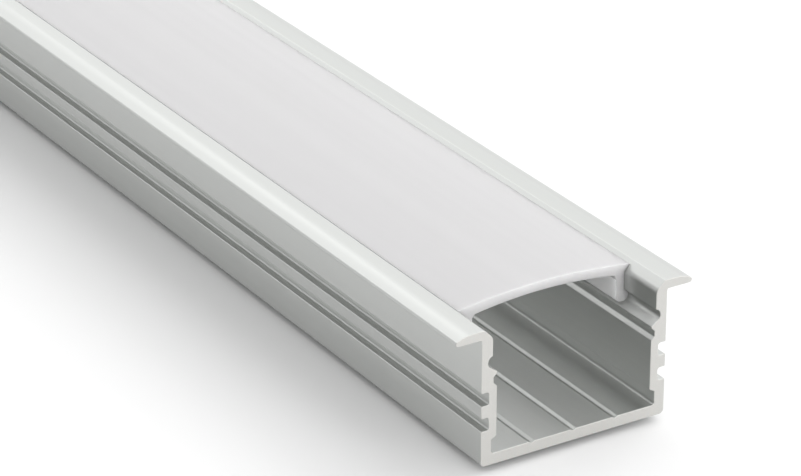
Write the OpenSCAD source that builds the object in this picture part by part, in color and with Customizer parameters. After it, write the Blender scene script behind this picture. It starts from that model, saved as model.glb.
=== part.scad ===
// Recessed profile for LED strip: an aluminium channel with flanges, and an opal cover that snaps into it.
// The section lies in X and Z, the run goes along Y, and the base of the channel is at Z = 0.

/* [Channel] */
// Length of the channel
channel_len = 200; // [100:10:1000]
// Width of the body that drops into the cut-out
body_w = 22; // [18:0.5:40]
// Depth from the base to the top of the flanges
depth = 15; // [14.5:0.25:25]
// Thickness of the floor
floor_t = 1.25; // [1:0.05:1.6]
// Thickness of the wall beside the cover's leg
upper_wall_t = 1.3; // [1.1:0.05:1.6]
// Thickness of the wall behind the clip grooves
clip_wall_t = 1.8; // [1.6:0.05:2.1]
// Thickness of the wall below the clip grooves
lower_wall_t = 1.2; // [1:0.05:1.5]
// Height of the bay under the thicker wall, above the floor
lower_bay_h = 1.55; // [1:0.05:2]
// Radius along the bottom edges of the body
base_r = 0.5; // [0.2:0.05:0.8]
// Radius in the corners between the floor and the walls
floor_corner_r = 0.3; // [0.1:0.05:0.5]

/* [Flanges] */
// Reach of each flange past the body
flange_reach = 3; // [2.5:0.25:8]
// Thickness of the flange at the body
flange_t = 1; // [0.8:0.05:1.2]
// Thickness of the flange at its tip
flange_tip_t = 0.6; // [0.4:0.05:0.7]
// Width of the level band along the top of the flange, outside the wall's face
flange_level_w = 1; // [0.5:0.1:1.5]
// Fillet under the flange, at the wall
flange_root_r = 0.25; // [0.1:0.05:0.5]
// Size of the chamfer that the cover's lips lie on
seat_chamfer = 1; // [0.8:0.05:1.1]
// Radius along the top edge of that chamfer
seat_edge_r = 0.3; // [0.1:0.05:0.4]

/* [Clip grooves] */
// Number of clip grooves in each wall
clip_groove_n = 2; // [1:1:2]
// Height of one clip groove
clip_groove_h = 1.4; // [1:0.05:1.5]
// Depth of one clip groove
clip_groove_d = 0.9; // [0.6:0.05:1]
// Height of the land between two clip grooves
clip_land_h = 1.4; // [1:0.05:1.5]
// Height of the lowest clip groove above the base
clip_groove_z = 3.95; // [3.5:0.05:4]
// Radius along the edges of the land and of the lower wall
clip_edge_r = 0.3; // [0.1:0.05:0.4]
// Radius in the two inner corners of each clip groove
clip_corner_r = 0.35; // [0.1:0.05:0.4]

/* [Cover seat] */
// Depth of the bead groove's centre below the top of the flanges
bead_drop = 3.7; // [3.5:0.05:4]
// Distance of the bead's centre from the wall's face, inside the channel
bead_inset = 0.15; // [0.1:0.05:0.2]
// Reach of the ledge under the cover's foot, past the wall's face
ledge_reach = 0.5; // [0.4:0.05:0.6]
// Slope of the ledge's upper face
ledge_slope = 35; // [30:1:40]
// Height of the ledge's blunt tip
ledge_tip_h = 0.18; // [0.1:0.02:0.3]
// Depth of the notch under the ledge, from the ledge's tip
notch_d = 0.4; // [0.3:0.05:0.5]
// Height of the notch's flat bottom
notch_h = 0.6; // [0.4:0.05:0.8]

/* [Floor grooves] */
// Number of guide grooves in the floor
floor_groove_n = 3; // [1:1:4]
// Distance from one guide groove to the next
floor_groove_pitch = 5; // [3:0.5:5]
// Width of a guide groove at the floor
floor_groove_w = 0.9; // [0.6:0.1:1.2]
// Width of a guide groove at its bottom
floor_groove_bottom_w = 0.1; // [0.1:0.05:0.4]
// Depth of a guide groove
floor_groove_d = 0.18; // [0.1:0.02:0.4]

/* [Cover] */
// Distance that the cover stands back from the near end of the channel
cover_setback = 5.5; // [0:0.5:20]
// Thickness of the cover at the top of its arch
cover_t = 1; // [0.8:0.05:1.2]
// Thickness of the cover's legs
leg_t = 0.98; // [0.8:0.02:1]
// Height of the cover's arch above the top of the flanges
crown_rise = 0.5; // [0.2:0.05:0.6]
// Radius of the arch on top
crown_r = 66; // [58:1:80]
// Radius of the arch underneath
vault_r = 52; // [45:1:60]
// Radius between the arch and the inside of a leg
vault_corner_r = 0.6; // [0.3:0.05:0.8]
// Radius of the bead along the cover's foot
bead_r = 0.6; // [0.5:0.05:0.65]
// Radius along the edge of the lip that lies on the chamfer
lip_edge_r = 0.12; // [0.08:0.02:0.2]
// Clearance between the cover and the channel
clearance = 0.1; // [0.06:0.01:0.15]

/* [Hidden] */

// Overlap that keeps a cut or a fill from ending on the face that it meets
lap = 0.05;
// Sides of a small round, and of the wide arcs of the cover and the flanges
$fn = 48;
wide_arc_fn = 720;

half_w = body_w / 2;
wall_x = half_w - upper_wall_t;
clip_wall_x = half_w - clip_wall_t;
lower_wall_x = half_w - lower_wall_t;
lower_bay_z = floor_t + lower_bay_h;

flange_z = depth - flange_t;
flange_tip_r = flange_tip_t / 2;
flange_tip = [half_w + flange_reach - flange_tip_r, flange_z + flange_tip_r];
level_end_x = half_w + flange_level_w;
// The brow is the arc from the level band to the rounded tip, and it meets both without a corner
brow_run = flange_tip.x - level_end_x;
brow_r = (brow_run * brow_run / (flange_t - flange_tip_t) + flange_t) / 2;
brow_lean = asin(brow_run / (brow_r - flange_tip_r));

clip_pitch = clip_groove_h + clip_land_h;

bead_x = wall_x - bead_inset;
bead_z = depth - bead_drop;
bead_groove_r = bead_r + clearance;
ledge_x = wall_x - ledge_reach;
// The ledge's upper face is a tangent to the bead groove
ledge_z = bead_z - (bead_groove_r + (bead_x - ledge_x) * sin(ledge_slope)) / cos(ledge_slope);
ledge_end = [bead_x + bead_groove_r * sin(ledge_slope), bead_z - bead_groove_r * cos(ledge_slope)];
notch_x = ledge_x + notch_d;
notch_top_z = ledge_z - ledge_tip_h - notch_d;
notch_bottom_z = notch_top_z - notch_h;
shoulder_z = notch_bottom_z - (notch_x - clip_wall_x);

crown_z = depth + crown_rise;
leg_x = wall_x - clearance;
leg_inner_x = leg_x - leg_t;
foot_x = leg_inner_x + bead_r;
crown_centre_z = crown_z - crown_r;
vault_centre_z = crown_z - cover_t - vault_r;
// The underside of the lip runs at 45 degrees, at x = z + seat_line, a clearance above the chamfer
seat_line = wall_x - (depth - seat_chamfer) - clearance * sqrt(2);
// The lip's edge is where that line meets the arch on top
lip_run = crown_centre_z + seat_line;
lip_rise = (sqrt(2 * crown_r * crown_r - lip_run * lip_run) - lip_run) / 2;
lip = [lip_rise + lip_run, lip_rise + crown_centre_z];
// The round under the arch touches the leg's inner face and the arch
vault_corner_x = leg_inner_x - vault_corner_r;
vault_corner_lean = asin(vault_corner_x / (vault_r - vault_corner_r));
vault_corner_z = vault_centre_z + (vault_r - vault_corner_r) * cos(vault_corner_lean);

function direction(angle) = [cos(angle), sin(angle)];

// The corner between two edges and the arc that rounds it: cut from an outer corner, or added to an inner one.
// The edges leave the corner in the directions a and b, in degrees, with the arc's centre between them.
module corner_web(corner, a, b, r) {
    half = (b - a) / 2;
    tangent = r / tan(half);
    centre = r / sin(half) * direction(a + half);
    translate(corner) difference() {
        polygon([-lap * direction(a + half), tangent * direction(a), centre, tangent * direction(b)]);
        translate(centre) circle(r);
    }
}

module both_sides() {
    children();
    mirror([1, 0]) children();
}

// Turns a section drawn in X and Z into a run along Y, from one y to another
module run_along_y(y_from, y_to) {
    translate([0, y_to, 0]) rotate([90, 0, 0]) linear_extrude(y_to - y_from) children();
}

// Space inside one half of the channel, from the floor up to the open top
module bay_half() {
    polygon([
        [-lap, floor_t],
        [lower_wall_x, floor_t],
        [lower_wall_x, lower_bay_z],
        [clip_wall_x, lower_bay_z + (lower_wall_x - clip_wall_x) / 2],
        [clip_wall_x, shoulder_z],
        [notch_x, notch_bottom_z],
        [notch_x, notch_top_z],
        [ledge_x, ledge_z - ledge_tip_h],
        [ledge_x, ledge_z],
        ledge_end,
        [bead_x, bead_z],
        [bead_x, bead_z + bead_groove_r / 2],
        [wall_x, bead_z + bead_groove_r / 2],
        [wall_x, depth - seat_chamfer],
        [wall_x + seat_chamfer + lap, depth + lap],
        [-lap, depth + lap]
    ]);
    translate([bead_x, bead_z]) circle(bead_groove_r);
    // Rounded top edge of the seat
    corner_web([wall_x + seat_chamfer, depth], -135, 0, seat_edge_r);
}

module clip_groove(z) {
    bottom_x = half_w - clip_groove_d;
    difference() {
        translate([bottom_x, z]) square([clip_groove_d + lap, clip_groove_h]);
        corner_web([bottom_x, z], 0, 90, clip_corner_r);
        corner_web([bottom_x, z + clip_groove_h], 270, 360, clip_corner_r);
    }
    // Rounded edge of what lies under the groove
    corner_web([half_w, z], 180, 270, clip_edge_r);
}

module floor_groove() {
    polygon([
        [-floor_groove_w / 2, floor_t], [-floor_groove_w / 2, floor_t + lap],
        [floor_groove_w / 2, floor_t + lap], [floor_groove_w / 2, floor_t],
        [floor_groove_bottom_w / 2, floor_t - floor_groove_d],
        [-floor_groove_bottom_w / 2, floor_t - floor_groove_d]
    ]);
}

// One flange, with its level band, its falling brow and its rounded tip
module flange_half() {
    intersection() {
        union() {
            translate([wall_x, flange_z]) square([level_end_x - wall_x, flange_t]);
            translate([level_end_x, depth - brow_r]) circle(brow_r, $fn = wide_arc_fn);
        }
        union() {
            polygon([
                [wall_x, flange_z],
                [flange_tip.x, flange_z],
                flange_tip,
                flange_tip + flange_t * direction(90 - brow_lean),
                [wall_x, depth]
            ]);
            translate(flange_tip) circle(flange_tip_r);
        }
    }
    corner_web([half_w, flange_z], 270, 360, flange_root_r);
}

module channel_section() {
    difference() {
        union() {
            translate([-half_w, 0]) square([body_w, depth]);
            both_sides() flange_half();
        }
        both_sides() {
            difference() {
                bay_half();
                corner_web([lower_wall_x, floor_t], 90, 180, floor_corner_r);
            }
            corner_web([half_w, 0], 90, 180, base_r);
            for (i = [0:1:clip_groove_n - 1]) clip_groove(clip_groove_z + i * clip_pitch);
            // Rounded lower edge of each land, over the groove before it
            for (i = [1:1:clip_groove_n - 1])
                corner_web([half_w, clip_groove_z + i * clip_pitch - clip_land_h], 90, 180, clip_edge_r);
        }
        for (i = [0:floor_groove_n - 1])
            translate([(i - (floor_groove_n - 1) / 2) * floor_groove_pitch, 0]) floor_groove();
    }
}

// Space under one half of the arch, between the legs
module vault_half() {
    difference() {
        intersection() {
            translate([0, vault_centre_z]) circle(vault_r, $fn = wide_arc_fn);
            translate([-lap, 0]) square([leg_inner_x + lap, crown_z]);
        }
        // The round where the arch turns down into the leg
        translate([vault_corner_x, vault_corner_z]) difference() {
            polygon([
                [0, 0],
                [vault_corner_r + lap, 0],
                [vault_corner_r + lap, 2 * vault_corner_r],
                2 * vault_corner_r * direction(90 - vault_corner_lean)
            ]);
            circle(vault_corner_r);
        }
    }
}

// The cover's foot: the leg ends in a round that runs out into the bead
module foot() {
    translate([foot_x, bead_z]) circle(bead_r);
    translate([bead_x, bead_z]) circle(bead_r);
    translate([foot_x, bead_z - bead_r]) square([bead_x - foot_x, bead_r]);
}

module cover_section() {
    both_sides() {
        difference() {
            intersection() {
                polygon([
                    [-lap, bead_z],
                    [leg_x, bead_z],
                    [leg_x, leg_x - seat_line],
                    lip,
                    [lip.x, crown_z],
                    [-lap, crown_z]
                ]);
                translate([0, crown_centre_z]) circle(crown_r, $fn = wide_arc_fn);
            }
            vault_half();
            corner_web(lip, 180 - asin(lip.x / crown_r), 225, lip_edge_r);
        }
        foot();
    }
}

module channel() {
    color([0.86, 0.88, 0.88])
        run_along_y(-channel_len / 2, channel_len / 2) channel_section();
}

module diffuser() {
    color([0.93, 0.92, 0.93])
        run_along_y(-channel_len / 2 + cover_setback, channel_len / 2) cover_section();
}

channel();
diffuser();
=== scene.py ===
# %% [markdown]
# A recessed profile for LED strip: a silver anodised aluminium channel with two flanges, and a milky
# plastic cover clipped between its walls. Both real pieces are extrusions, so the whole lesson turns on
# one idea: draw the section once, push it along its length, and spend the effort on edges and finish.
# The fixed CAD frame comes first. It gives the lengths and the outer sizes, and every piece is built
# around it in metres.

# %% Load the frame
import math

import bmesh
import bpy
import numpy as np
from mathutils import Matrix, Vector


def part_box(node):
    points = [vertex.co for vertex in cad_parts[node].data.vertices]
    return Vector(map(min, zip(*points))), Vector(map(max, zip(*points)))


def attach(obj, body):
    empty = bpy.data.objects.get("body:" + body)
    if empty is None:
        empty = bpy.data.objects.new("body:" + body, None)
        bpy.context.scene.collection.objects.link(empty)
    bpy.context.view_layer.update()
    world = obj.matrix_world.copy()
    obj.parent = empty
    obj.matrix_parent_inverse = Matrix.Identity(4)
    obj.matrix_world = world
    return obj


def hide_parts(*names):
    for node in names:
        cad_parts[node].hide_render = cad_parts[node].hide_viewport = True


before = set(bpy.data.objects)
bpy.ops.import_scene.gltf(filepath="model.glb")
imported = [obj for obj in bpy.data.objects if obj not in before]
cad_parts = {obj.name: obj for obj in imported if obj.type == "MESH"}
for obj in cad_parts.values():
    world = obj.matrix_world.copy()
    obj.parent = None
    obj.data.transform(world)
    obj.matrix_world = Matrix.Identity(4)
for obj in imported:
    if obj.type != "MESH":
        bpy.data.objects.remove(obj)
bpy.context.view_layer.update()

MM = 0.001

# %% [markdown]
# The camera stands in front, to the left and above, far away behind a long lens, so the long edges of
# the profile stay almost parallel. Its place was worked out from those straight edges in the photograph.
# A camera in Blender looks along its own -Z, which is why the direction is turned into a rotation with
# to_track_quat.

# %% Camera
IMAGE_W, IMAGE_H = 801, 476
CAMERA_AZIMUTH = math.radians(-31.66)
CAMERA_ELEVATION = math.radians(25.2)
CAMERA_FROM_NEAR_END = Vector((-0.1818, -0.2619, 0.1721))
FOCAL_LENGTH_PX = 3615.8
SENSOR_W = 36

near_y, far_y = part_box("channel")[0].y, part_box("channel")[1].y
camera = bpy.data.objects.new("photo_camera", bpy.data.cameras.new("photo_camera"))
bpy.context.collection.objects.link(camera)
bpy.context.scene.camera = camera
camera.data.sensor_width = SENSOR_W
camera.data.lens = FOCAL_LENGTH_PX / IMAGE_W * SENSOR_W
camera.data.clip_start, camera.data.clip_end = 0.01, 20
camera.location = CAMERA_FROM_NEAR_END + Vector((0, near_y, 0))
back = Vector((
    math.sin(CAMERA_AZIMUTH) * math.cos(CAMERA_ELEVATION),
    -math.cos(CAMERA_AZIMUTH) * math.cos(CAMERA_ELEVATION),
    math.sin(CAMERA_ELEVATION),
))
camera.rotation_mode = "QUATERNION"
camera.rotation_quaternion = (-back).to_track_quat("-Z", "Y")
print(f"camera {camera.location.length:.3f} m from the middle, lens {camera.data.lens:.1f} mm")

# %% [markdown]
# An extrusion die has no truly sharp corner: each one is eased by a few hundredths to a few tenths of a
# millimetre, and that is where the light catches. A bevel modifier would treat all edges alike, so the
# drawing itself carries a radius for every corner. These helpers turn a list of corners into points
# along straight lines and true arcs.

# %% Drawing a section
ROUND_STEP = math.radians(9)


def arc(centre, radius, start_deg, end_deg):
    """Points along an arc in the plane of the section, in millimetres."""
    start, end = math.radians(start_deg), math.radians(end_deg)
    steps = max(2, math.ceil(abs(end - start) / ROUND_STEP))
    angles = [start + (end - start) * i / steps for i in range(steps + 1)]
    return [(centre[0] + radius * math.cos(a), centre[1] + radius * math.sin(a), 0) for a in angles]


def eased(corners):
    """Replaces each corner (x, z, radius) of an open line with the arc that rounds it."""
    points = [corners[0][:2]]
    for before, here, after in zip(corners, corners[1:], corners[2:]):
        corner = Vector(here[:2])
        to_before = (Vector(before[:2]) - corner).normalized()
        to_after = (Vector(after[:2]) - corner).normalized()
        half = to_before.angle(to_after) / 2
        if here[2] == 0 or half > math.radians(89):
            points.append(here[:2])
            continue
        middle = (to_before + to_after).normalized()
        centre = corner + middle * here[2] / math.sin(half)
        first = corner + to_before * here[2] / math.tan(half) - centre
        turn = first.angle_signed(corner + to_after * here[2] / math.tan(half) - centre)
        steps = max(2, math.ceil(abs(turn) / ROUND_STEP))
        for i in range(steps + 1):
            a = -turn * i / steps
            points.append((
                centre.x + first.x * math.cos(a) - first.y * math.sin(a),
                centre.y + first.x * math.sin(a) + first.y * math.cos(a),
            ))
    points.append(corners[-1][:2])
    return points


def both_halves(half):
    """Closes the right half of a section, which starts and ends on the middle line, with its mirror."""
    return half + [(-x, z) for x, z in reversed(half[1:-1])]


print("a quarter circle is drawn with", len(arc((0, 0), 1, 0, 90)), "points")

# %% [markdown]
# The channel's section. Outside there is a square body, two clip grooves in each wall with a rounded
# land between them, and thin flanges whose tops fall away to a round tip. Inside, from the top down,
# come the chamfer that the cover's lip lies on, the round groove for the cover's bead, a sharp ledge, a
# small notch, a thicker wall, and a flat floor with three shallow guide grooves. The line runs from the
# middle of the base, round the outside, and back along the inside to the middle of the floor. The third
# number of each corner is its radius. On bright metal the radius decides how wide a line of light the
# edge catches, so the lips of the clip grooves are kept tight and the shallow grooves are kept soft.

# %% Section of the channel
channel_low, channel_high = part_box("channel")
DEPTH = (channel_high.z - channel_low.z) / MM
FLANGE_X = (channel_high.x - channel_low.x) / 2 / MM
BODY_X = FLANGE_X - 3
UPPER_WALL_X = BODY_X - 1.3
CLIP_WALL_X = BODY_X - 1.8
LOWER_WALL_X = BODY_X - 1.2
FLOOR_Z = 1.25
BAY_STEP_Z = 2.8
CLIP_GROOVES_Z = ((3.95, 5.35), (6.75, 8.15))
CLIP_GROOVE_X = BODY_X - 0.9
FLANGE_Z = DEPTH - 1
FLANGE_TIP_R = 0.3
LEVEL_END_X = BODY_X + 1
SEAT_CHAMFER = 1
BEAD_X, BEAD_Z, BEAD_R = UPPER_WALL_X - 0.15, DEPTH - 3.7, 0.6
CLEARANCE = 0.1
LEDGE_X, LEDGE_SLOPE, LEDGE_TIP_H = UPPER_WALL_X - 0.5, 35, 0.18
NOTCH_D, NOTCH_H = 0.4, 0.6
FLOOR_GROOVE_PITCH = 5
FLOOR_GROOVE_HALF_W, FLOOR_GROOVE_BOTTOM_HALF_W, FLOOR_GROOVE_D = 0.36, 0.05, 0.13
DIE_EDGE_R = 0.06


def clip_groove(low_z, high_z):
    """The lower lip and the two inner corners of one groove in the outside of the wall."""
    return [
        (BODY_X, low_z, 0.1),
        (CLIP_GROOVE_X, low_z, 0.2),
        (CLIP_GROOVE_X, high_z, 0.35),
    ]


def floor_groove(x):
    """A shallow V with a soft bottom, from its right edge to its left one."""
    edge_z, bottom_z = FLOOR_Z, FLOOR_Z - FLOOR_GROOVE_D
    return [
        (x + FLOOR_GROOVE_HALF_W, edge_z, 0.3),
        (x + FLOOR_GROOVE_BOTTOM_HALF_W, bottom_z, 0.4),
        (x - FLOOR_GROOVE_BOTTOM_HALF_W, bottom_z, 0.4),
        (x - FLOOR_GROOVE_HALF_W, edge_z, 0.3),
    ]


def flange_top():
    """The round tip of the flange, and the falling brow that joins it smoothly to the level band."""
    tip = (FLANGE_X - FLANGE_TIP_R, FLANGE_Z + FLANGE_TIP_R)
    run = tip[0] - LEVEL_END_X
    thickness = DEPTH - FLANGE_Z
    brow_r = (run * run / (thickness - 2 * FLANGE_TIP_R) + thickness) / 2
    lean = math.degrees(math.asin(run / (brow_r - FLANGE_TIP_R)))
    brow_centre = (LEVEL_END_X, DEPTH - brow_r)
    return arc(tip, FLANGE_TIP_R, -90, 90 - lean) + arc(brow_centre, brow_r, 90 - lean, 90)[1:]


def bead_seat():
    """The round groove for the bead, and the ledge and the notch under it."""
    groove_r = BEAD_R + CLEARANCE
    slope = math.radians(LEDGE_SLOPE)
    mouth = math.degrees(math.acos((UPPER_WALL_X - BEAD_X) / groove_r))
    ledge_z = BEAD_Z - (groove_r + (BEAD_X - LEDGE_X) * math.sin(slope)) / math.cos(slope)
    notch_x, notch_z = LEDGE_X + NOTCH_D, ledge_z - LEDGE_TIP_H - NOTCH_D
    return arc((BEAD_X, BEAD_Z), groove_r, mouth, LEDGE_SLOPE - 90) + [
        (LEDGE_X, ledge_z, DIE_EDGE_R),
        (LEDGE_X, ledge_z - LEDGE_TIP_H, DIE_EDGE_R),
        (notch_x, notch_z, DIE_EDGE_R),
        (notch_x, notch_z - NOTCH_H, 0.25),
        (CLIP_WALL_X, notch_z - NOTCH_H - (notch_x - CLIP_WALL_X), 0.3),
    ]


channel_half = eased([
    (0, 0, 0),
    (BODY_X, 0, 0.5),
    *clip_groove(*CLIP_GROOVES_Z[0]),
    (BODY_X, CLIP_GROOVES_Z[0][1], 0.15),
    *clip_groove(*CLIP_GROOVES_Z[1]),
    (BODY_X, CLIP_GROOVES_Z[1][1], 0.1),
    (BODY_X, FLANGE_Z, 0.25),
    *flange_top(),
    (UPPER_WALL_X + SEAT_CHAMFER, DEPTH, 0.2),
    (UPPER_WALL_X, DEPTH - SEAT_CHAMFER, 1.0),
    *bead_seat(),
    (CLIP_WALL_X, BAY_STEP_Z + (LOWER_WALL_X - CLIP_WALL_X) / 2, 0.15),
    (LOWER_WALL_X, BAY_STEP_Z, 0.15),
    (LOWER_WALL_X, FLOOR_Z, 0.3),
    *floor_groove(FLOOR_GROOVE_PITCH),
    *floor_groove(0)[:2],
    (0, FLOOR_Z - FLOOR_GROOVE_D, 0),
])
channel_outline = both_halves(channel_half)
print("channel section:", len(channel_outline), "points")

# %% [markdown]
# The cover's section: a shallow arch on top, a rounder one underneath, a thin lip on each side that lies
# on the channel's chamfer, and two legs that end in a bead. The two arches have different radii, so the
# plastic is a little thicker over the legs than in the middle. The lip's place comes from where its
# 45 degree underside meets the top arch. A hair's gap is left under the lip, because two surfaces in the
# very same place would flicker.

# %% Section of the cover
CROWN_Z, CROWN_R = DEPTH + 0.5, 66
VAULT_Z, VAULT_R = CROWN_Z - 1, 52
LEG_X = UPPER_WALL_X - CLEARANCE
LEG_INNER_X = LEG_X - 0.98
VAULT_CORNER_R = 0.6
LIP_EDGE_R = 0.08
LIP_GAP = 0.01

seat_line = UPPER_WALL_X - (DEPTH - SEAT_CHAMFER) - LIP_GAP * math.sqrt(2)
lip_run = CROWN_Z - CROWN_R + seat_line
lip_rise = (math.sqrt(2 * CROWN_R ** 2 - lip_run ** 2) - lip_run) / 2
lip_x = lip_rise + lip_run
lip_lean = math.degrees(math.asin(lip_x / CROWN_R))
corner_x = LEG_INNER_X - VAULT_CORNER_R
corner_lean = math.degrees(math.asin(corner_x / (VAULT_R - VAULT_CORNER_R)))
corner_z = VAULT_Z - VAULT_R + (VAULT_R - VAULT_CORNER_R) * math.cos(math.radians(corner_lean))
foot_x = LEG_INNER_X + BEAD_R
neck = math.degrees(math.acos((LEG_X - BEAD_X) / BEAD_R))


def wide_arc(centre_z, radius, start_deg, end_deg, steps=24):
    """An arc of the arch: wide and flat, so its steps are counted and not measured by angle."""
    angles = [math.radians(start_deg + (end_deg - start_deg) * i / steps) for i in range(steps + 1)]
    return [(radius * math.cos(a), centre_z + radius * math.sin(a), 0) for a in angles]


cover_half = eased([
    *wide_arc(VAULT_Z - VAULT_R, VAULT_R, 90, 90 - corner_lean),
    *arc((corner_x, corner_z), VAULT_CORNER_R, 90 - corner_lean, 0)[1:],
    *arc((foot_x, BEAD_Z), BEAD_R, 180, 270),
    *arc((BEAD_X, BEAD_Z), BEAD_R, -90, neck),
    (LEG_X, LEG_X - seat_line, 0.1),
    (lip_x, lip_x - seat_line, LIP_EDGE_R),
    *wide_arc(CROWN_Z - CROWN_R, CROWN_R, 90 - lip_lean, 90)[1:],
])
cover_outline = both_halves(cover_half)
print("cover section:", len(cover_outline), "points")

# %% [markdown]
# Pushing a section along Y gives long, narrow faces. Two things make them look like metal and not like
# paper: the sawn ends get a fine eased edge, made by shrinking the first and the last ring a little, and
# a weighted-normal modifier keeps the flats flat while the small rounds turn smoothly. The end faces take
# a material of their own, because a saw cuts through the anodised skin. The long strips may differ too:
# each is given its material by where it lies in the section and which way it faces, and on the cover the
# legs' material has a painted-light tint, lighter because little light reaches them.

# %% Pushing a section along its length
def strip_normals(points):
    """Outward direction of each side of a closed outline that runs anticlockwise."""
    ahead = np.roll(points, -1, 0) - points
    ahead /= np.linalg.norm(ahead, axis=1)[:, None]
    return np.stack([ahead[:, 1], -ahead[:, 0]], 1)


def corner_normals(points):
    """Outward direction at each point, halfway between its two sides."""
    outward = strip_normals(points)
    mean = outward + np.roll(outward, 1, 0)
    return mean / np.linalg.norm(mean, axis=1)[:, None]


def push(name, outline, y_from, y_to, end_ease, finish=lambda middle, outward: 0):
    """A solid run of the section along Y, in metres. Its ends take material 1, and finish picks
    the material of each strip along it."""
    points = np.array(outline)
    area = np.sum(points[:, 0] * np.roll(points[:, 1], -1) - np.roll(points[:, 0], -1) * points[:, 1])
    if area < 0:
        points = points[::-1]
    middles = (points + np.roll(points, -1, 0)) / 2
    finishes = [finish(middle, outward) for middle, outward in zip(middles, strip_normals(points))]
    shrunk = points - corner_normals(points) * end_ease
    rings = [(shrunk, y_from), (points, y_from + end_ease * MM),
             (points, y_to - end_ease * MM), (shrunk, y_to)]
    bm = bmesh.new()
    loops = [[bm.verts.new((x * MM, y, z * MM)) for x, z in ring] for ring, y in rings]
    for index, (ring, following) in enumerate(zip(loops, loops[1:])):
        for i in range(len(ring)):
            j = (i + 1) % len(ring)
            face = bm.faces.new((ring[i], ring[j], following[j], following[i]))
            face.material_index = finishes[i] if index == 1 else 1
    near_cap, far_cap = bm.faces.new(list(reversed(loops[0]))), bm.faces.new(loops[-1])
    near_cap.material_index = far_cap.material_index = 1
    bmesh.ops.recalc_face_normals(bm, faces=bm.faces)
    for face in bm.faces:
        face.smooth = True
    for edge in bm.edges:
        edge.smooth = edge.calc_face_angle(0) < math.radians(32)
    mesh = bpy.data.meshes.new(name)
    bm.to_mesh(mesh)
    bm.free()
    piece = bpy.data.objects.new(name, mesh)
    bpy.context.collection.objects.link(piece)
    flats = piece.modifiers.new("flats_stay_flat", "WEIGHTED_NORMAL")
    flats.mode = "FACE_AREA"
    flats.weight = 100
    flats.keep_sharp = True
    print(f"{name}: {len(mesh.polygons)} faces, {(y_to - y_from) / MM:.1f} mm long")
    return piece


# Picks the copy of the plastic for each strip; the legs' copy has a painted-light tint, lighter because
# little light reaches them.
def cover_copy_by_light(middle, outward):
    """0 on top and over the lips, 2 on the legs, 3 under the arch."""
    if middle[1] < corner_z:
        return 2
    return 3 if outward[1] < -0.5 and abs(middle[0]) < LEG_INNER_X else 0


cover_low, cover_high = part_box("diffuser")
channel = push("anodised_channel", channel_outline, near_y, far_y, 0.05)
cover = push("opal_cover", cover_outline, cover_low.y, cover_high.y, 0.04, cover_copy_by_light)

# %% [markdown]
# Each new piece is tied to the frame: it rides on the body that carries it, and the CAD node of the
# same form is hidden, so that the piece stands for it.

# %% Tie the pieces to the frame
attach(channel, "channel_body")
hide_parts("channel")
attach(cover, "cover_body")
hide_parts("diffuser")
print("the channel stays put, the cover rides on cover_body and slides along Y")

# %% [markdown]
# Every finish here is made from noise in the object's own coordinates, so it needs no unwrapping, has no
# seam at the corners and stays on the piece when it moves. Four small helpers cover it all: noise with a
# stretch of its own along each axis, a spread into a range of values, a tint between two close shades,
# and a bump.

# %% Helpers for materials
def material(name):
    made = bpy.data.materials.new(name)
    made.use_nodes = True
    nodes = made.node_tree.nodes
    return made, nodes, made.node_tree.links, nodes["Principled BSDF"]


def place(nodes, links, stretch):
    """Object coordinates, in metres, multiplied by a factor for each axis."""
    where = nodes.new("ShaderNodeTexCoord")
    scaled = nodes.new("ShaderNodeVectorMath")
    scaled.operation = "MULTIPLY"
    scaled.inputs[1].default_value = stretch
    links.new(where.outputs["Object"], scaled.inputs[0])
    return scaled.outputs["Vector"]


def noise(nodes, links, stretch, detail=3.0, rough=0.55):
    texture = nodes.new("ShaderNodeTexNoise")
    texture.inputs["Scale"].default_value = 1
    texture.inputs["Detail"].default_value = detail
    texture.inputs["Roughness"].default_value = rough
    links.new(place(nodes, links, stretch), texture.inputs["Vector"])
    return texture.outputs["Fac"]


def spread(nodes, links, value, low, high):
    """Turns a texture's middle range into values from low to high."""
    ranged = nodes.new("ShaderNodeMapRange")
    ranged.inputs["From Min"].default_value = 0.3
    ranged.inputs["From Max"].default_value = 0.7
    ranged.inputs["To Min"].default_value = low
    ranged.inputs["To Max"].default_value = high
    links.new(value, ranged.inputs["Value"])
    return ranged.outputs["Result"]


def tint(nodes, links, value, dark, light):
    """A colour between two close shades."""
    ramp = nodes.new("ShaderNodeValToRGB")
    ramp.color_ramp.elements[0].position = 0.3
    ramp.color_ramp.elements[1].position = 0.7
    ramp.color_ramp.elements[0].color = (*dark, 1)
    ramp.color_ramp.elements[1].color = (*light, 1)
    links.new(value, ramp.inputs["Fac"])
    return ramp.outputs["Color"]


def bump(nodes, links, height, distance, strength=1.0, under=None):
    bumped = nodes.new("ShaderNodeBump")
    bumped.inputs["Distance"].default_value = distance
    bumped.inputs["Strength"].default_value = strength
    links.new(height, bumped.inputs["Height"])
    if under is not None:
        links.new(under, bumped.inputs["Normal"])
    return bumped.outputs["Normal"]


print("texture space: object coordinates in metres, from", -channel_high.y, "to", channel_high.y, "along Y")

# %% [markdown]
# Silver anodising is metal seen through a thin, finely etched glassy skin. It mirrors nothing sharply,
# and along the run it shows faint streaks that the die has drawn. A noise texture squeezed across the
# section and stretched along Y makes those streaks, in the tint, in the roughness and in a very low bump.
# A second, even noise gives the fine etched grain. The bump heights are a few thousandths of a
# millimetre: on flat metal in soft light anything more looks like ripples.

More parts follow.
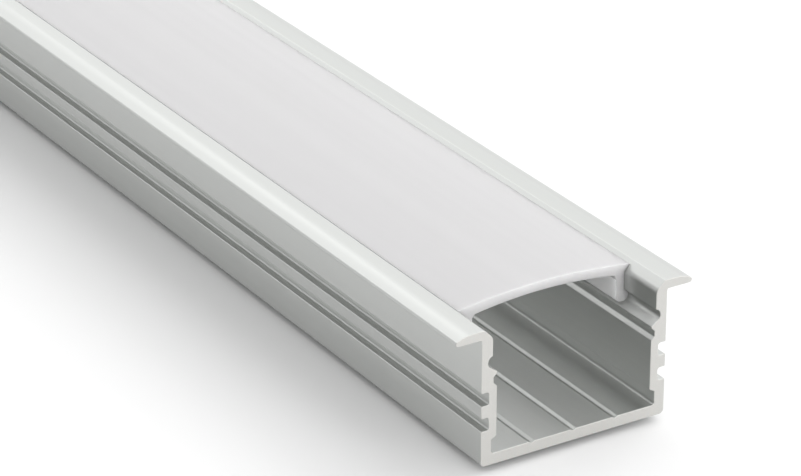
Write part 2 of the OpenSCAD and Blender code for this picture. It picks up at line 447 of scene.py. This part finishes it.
# %% Anodised skin
def anodised_skin():
    made, nodes, links, shader = material("silver_anodising")
    streaks = noise(nodes, links, (2600, 9, 2600), detail=2)
    grain = noise(nodes, links, (26000, 9000, 26000), detail=2)
    shader.inputs["Metallic"].default_value = 1
    shader.inputs["Anisotropic"].default_value = 0.0
    links.new(tint(nodes, links, streaks, (0.555, 0.566, 0.552), (0.575, 0.586, 0.572)),
              shader.inputs["Base Color"])
    links.new(spread(nodes, links, streaks, 0.35, 0.42), shader.inputs["Roughness"])
    drawn = bump(nodes, links, streaks, 0.0000015, 0.5)
    links.new(bump(nodes, links, grain, 0.000002, 0.4, drawn), shader.inputs["Normal"])
    return made


channel.data.materials.append(anodised_skin())
print("the long faces of the channel wear", channel.data.materials[0].name)

# %% [markdown]
# The sawn ends are bare metal: warmer in tone than the anodised skin, duller, and crossed by the fine
# arcs that the teeth of a large blade leave. A wave texture of rings with its centre far to one side
# gives arcs that are almost straight across the small end face.

# %% Sawn end
MARKS_PER_M = 420
BLADE_AWAY_X, BLADE_AWAY_Z = 0.09, 0.05


def sawn_end():
    made, nodes, links, shader = material("sawn_metal")
    marks = nodes.new("ShaderNodeTexWave")
    marks.wave_type = "RINGS"
    marks.rings_direction = "Y"
    marks.inputs["Scale"].default_value = 1
    marks.inputs["Distortion"].default_value = 1.5
    marks.inputs["Detail"].default_value = 2
    shift = nodes.new("ShaderNodeVectorMath")
    shift.operation = "ADD"
    shift.inputs[1].default_value = (BLADE_AWAY_X * MARKS_PER_M, 0, BLADE_AWAY_Z * MARKS_PER_M)
    links.new(place(nodes, links, (MARKS_PER_M, MARKS_PER_M, MARKS_PER_M)), shift.inputs[0])
    links.new(shift.outputs["Vector"], marks.inputs["Vector"])
    grain = noise(nodes, links, (9000, 9000, 9000), detail=2)
    shader.inputs["Metallic"].default_value = 0.85
    links.new(tint(nodes, links, grain, (0.615, 0.61, 0.59), (0.665, 0.66, 0.635)),
              shader.inputs["Base Color"])
    links.new(spread(nodes, links, grain, 0.5, 0.6), shader.inputs["Roughness"])
    cut = bump(nodes, links, marks.outputs["Fac"], 0.000006, 0.35)
    links.new(bump(nodes, links, grain, 0.000004, 0.3, cut), shader.inputs["Normal"])
    return made


channel.data.materials.append(sawn_end())
print("its two ends wear", channel.data.materials[1].name)

# %% [markdown]
# The cover is an opal plastic: white pigment in a clear body, so light enters, scatters and comes out
# again softly, and part of it falls through into the channel. Subsurface scattering does that. Its scale
# says how far light wanders in the plastic. With a small scale a wall of 1 mm throws most of its light
# back, and a thin lip over dark metal stays as bright as the arch beside it. With a large one the wall
# glows through. Blender takes the scale of the face where a path enters, so the cover has four copies
# of one plastic. The top has a darker tint and a short scale, and throws light back in an even milky tone.
# The legs have the same short scale but a much lighter tint, which is painted light: little light reaches
# them. The underside of the arch has a light tint and a long scale that lets the daylight in, and the
# sawn ends are duller.

# %% Opal plastic
def opal_plastic(name, dark, light, rough_low, rough_high, reach):
    made, nodes, links, shader = material(name)
    flow = noise(nodes, links, (500, 5, 500), detail=2)
    grain = noise(nodes, links, (7000, 5000, 7000), detail=2)
    links.new(tint(nodes, links, flow, dark, light), shader.inputs["Base Color"])
    links.new(spread(nodes, links, grain, rough_low, rough_high), shader.inputs["Roughness"])
    shader.inputs["Subsurface Weight"].default_value = 1
    shader.inputs["Subsurface Radius"].default_value = (1, 1, 1)
    shader.inputs["Subsurface Scale"].default_value = reach
    shader.inputs["IOR"].default_value = 1.49
    links.new(bump(nodes, links, grain, 0.000002, 0.4), shader.inputs["Normal"])
    return made


for finish in (
    ("opal_skin", (0.55, 0.545, 0.55), (0.57, 0.565, 0.57), 0.36, 0.44, 0.0015),
    ("opal_cut", (0.52, 0.515, 0.52), (0.56, 0.555, 0.56), 0.5, 0.6, 0.004),
    # painted light: the legs' tint is far lighter than the top's because little light reaches them
    ("opal_legs", (0.98, 0.975, 0.975), (0.99, 0.985, 0.985), 0.36, 0.44, 0.0015),
    ("opal_inside", (0.985, 0.98, 0.98), (0.995, 0.99, 0.99), 0.36, 0.44, 0.024),
):
    cover.data.materials.append(opal_plastic(*finish))
print("the cover wears", [m.name for m in cover.data.materials])

# %% [markdown]
# The stage is a plain pale floor, large enough to fill every view. The anodised profile rests on it with
# less than a millimetre of air under its eased edges, and there a thin dark line of contact belongs. The
# floor is set a hair lower than the base, so that this line shows under the whole length.

# %% Floor
FLOOR_SIZE = 8
FLOOR_DROP = 0.0008

floor_mesh = bpy.data.meshes.new("floor")
floor_mesh.from_pydata(
    [(x * FLOOR_SIZE, y * FLOOR_SIZE, -FLOOR_DROP) for x, y in ((-1, -1), (1, -1), (1, 1), (-1, 1))],
    [], [(0, 1, 2, 3)])
floor = bpy.data.objects.new("floor", floor_mesh)
bpy.context.collection.objects.link(floor)
floor_paint, nodes, links, shader = material("pale_floor")
links.new(tint(nodes, links, noise(nodes, links, (3, 3, 3)), (0.86, 0.86, 0.86), (0.875, 0.875, 0.875)),
          shader.inputs["Base Color"])
shader.inputs["Roughness"].default_value = 0.9
shader.inputs["Specular IOR Level"].default_value = 0.1
floor_mesh.materials.append(floor_paint)
print("floor:", 2 * FLOOR_SIZE, "m wide,", round(FLOOR_DROP / MM, 2), "mm under the base")

# %% [markdown]
# Metal shows what stands around it, so lighting it means choosing what each face mirrors. The sky is even
# and gives every face its base tone. The lamp behind, high up, is what the falling brow of the left
# flange and the rounded edges mirror toward this camera. The one behind on the right is what the level
# tops mirror. A small one behind on the left lights the 45 degree chamfer, and the large ones in front
# and on the right fill the walls, the cover and the inside. All are large or far enough for soft edges.

# %% Light
SKY = 0.66
LAMP_DISTANCE = 3.2
LARGE, MIDDLE, SMALL = 3.0, 2.0, 1.3

world = bpy.data.worlds.new("light_tent")
bpy.context.scene.world = world
world.use_nodes = True
world.node_tree.nodes["Background"].inputs["Color"].default_value = (1, 1, 1, 1)
world.node_tree.nodes["Background"].inputs["Strength"].default_value = SKY


def soft_box(name, azimuth, elevation, radiance, size):
    """A square lamp that faces the profile; azimuth 0 is behind it and 90 on its right."""
    turn, rise = math.radians(azimuth), math.radians(elevation)
    toward = Vector((math.sin(turn) * math.cos(rise), math.cos(turn) * math.cos(rise), math.sin(rise)))
    lamp = bpy.data.lights.new(name, "AREA")
    lamp.shape = "SQUARE"
    lamp.size = size
    lamp.energy = radiance * math.pi * size ** 2
    box = bpy.data.objects.new(name, lamp)
    bpy.context.collection.objects.link(box)
    box.location = toward * LAMP_DISTANCE
    box.rotation_mode = "QUATERNION"
    box.rotation_quaternion = (-toward).to_track_quat("-Z", "Y")
    print(f"{name}: {lamp.energy:.1f} W, {size} m square")


soft_box("box_back", 3, 41, 0.86, MIDDLE)
soft_box("box_back_left", -22, 32, 1.3, SMALL)
soft_box("box_back_right", 45, 30, 0.58, LARGE)
soft_box("box_right", 90, 30, 1.15, LARGE)
soft_box("box_right_high", 90, 60, 0.95, LARGE)
soft_box("box_front", 180, 30, 1.45, LARGE)
bpy.context.scene.view_settings.view_transform = "Standard"
